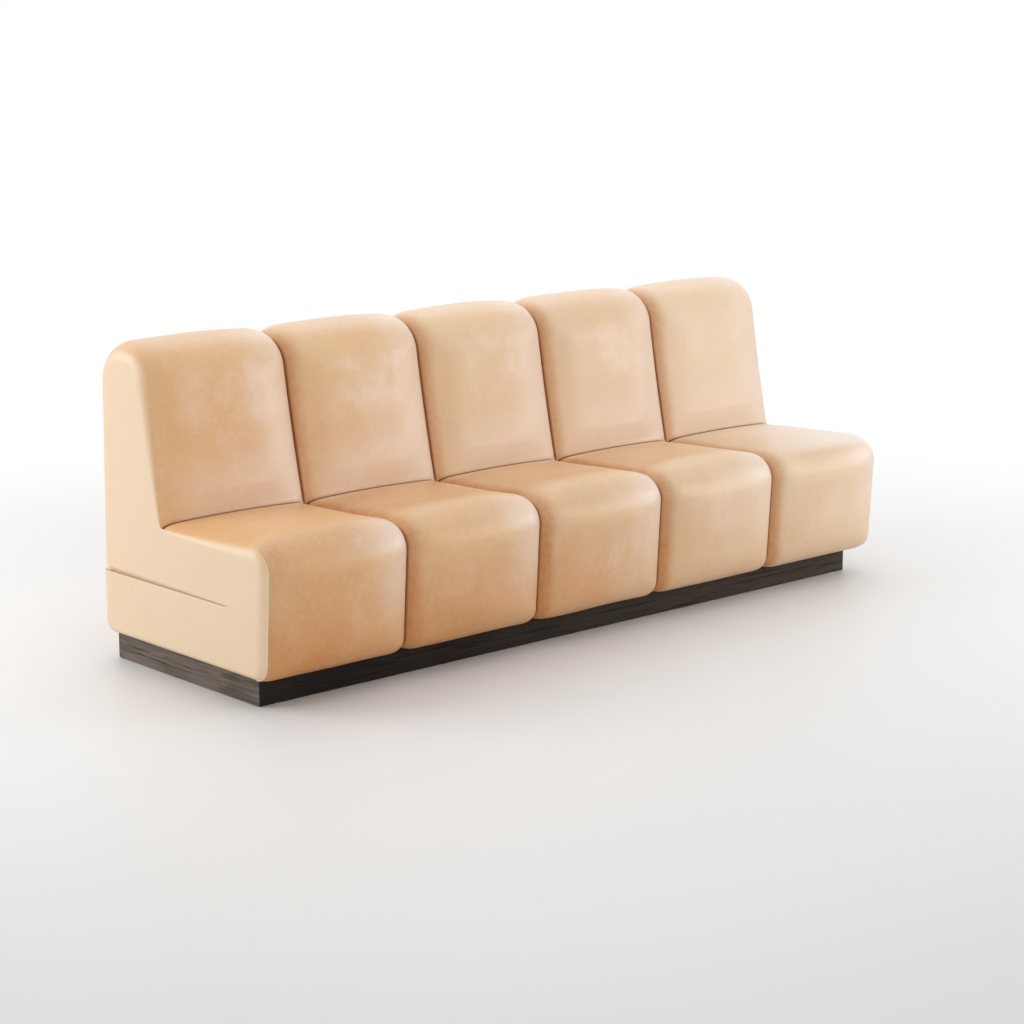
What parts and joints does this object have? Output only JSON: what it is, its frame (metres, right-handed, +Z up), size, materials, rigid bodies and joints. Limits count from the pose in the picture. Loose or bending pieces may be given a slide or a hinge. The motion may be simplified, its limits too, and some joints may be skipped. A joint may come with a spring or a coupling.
{
  "type": "upholstered banquette bench",
  "caption": "Row of leather-covered seats with crowned, rounded seat and back pads, joined side by side on one recessed dark wooden plinth.",
  "frame": {"origin": "on the floor, at the middle of the row's length and depth", "axes": "+X along the row, the seats face -Y, +Z up"},
  "size_m": [2.4994, 0.8417, 0.944],
  "materials": {
    "leather": "soft, semi-matt, light tan",
    "foam": "open-cell foam",
    "plinth_wood": "dark stained oak, matt",
    "pale_wood": "planed softwood",
    "plywood": "raw birch plywood",
    "hardboard": "hardboard",
    "webbing": "woven elastic belt",
    "zinc_steel": "zinc plated",
    "glide_plastic": "nylon"
  },
  "bodies": {
    "root": {"plinth_front_board": "plinth_wood", "plinth_rear_board": "plinth_wood", "plinth_left_board": "plinth_wood", "plinth_right_board": "plinth_wood", "plinth_cleats": "pale_wood", "plinth_ties": "pale_wood", "plinth_corner_blocks": "pale_wood", "plinth_screws": "zinc_steel", "glides": "glide_plastic", "seat_bolts": "zinc_steel", "washers": "zinc_steel", "tee_nuts": "zinc_steel", "cover_1": "leather", "cover_2": "leather", "cover_3": "leather", "cover_4": "leather", "cover_5": "leather", "seat_foam_1": "foam", "seat_foam_2": "foam", "seat_foam_3": "foam", "seat_foam_4": "foam", "seat_foam_5": "foam", "back_foam_1": "foam", "back_foam_2": "foam", "back_foam_3": "foam", "back_foam_4": "foam", "back_foam_5": "foam", "rear_pad_1": "foam", "rear_pad_2": "foam", "rear_pad_3": "foam", "rear_pad_4": "foam", "rear_pad_5": "foam", "side_frames_1": "plywood", "side_frames_2": "plywood", "side_frames_3": "plywood", "side_frames_4": "plywood", "side_frames_5": "plywood", "base_board_1": "plywood", "base_board_2": "plywood", "base_board_3": "plywood", "base_board_4": "plywood", "base_board_5": "plywood", "cross_rails_1": "pale_wood", "cross_rails_2": "pale_wood", "cross_rails_3": "pale_wood", "cross_rails_4": "pale_wood", "cross_rails_5": "pale_wood", "rear_panels_1": "hardboard", "rear_panels_2": "hardboard", "rear_panels_3": "hardboard", "rear_panels_4": "hardboard", "rear_panels_5": "hardboard", "webbing_1": "webbing", "webbing_2": "webbing", "webbing_3": "webbing", "webbing_4": "webbing", "webbing_5": "webbing"}
  },
  "joints": []
}
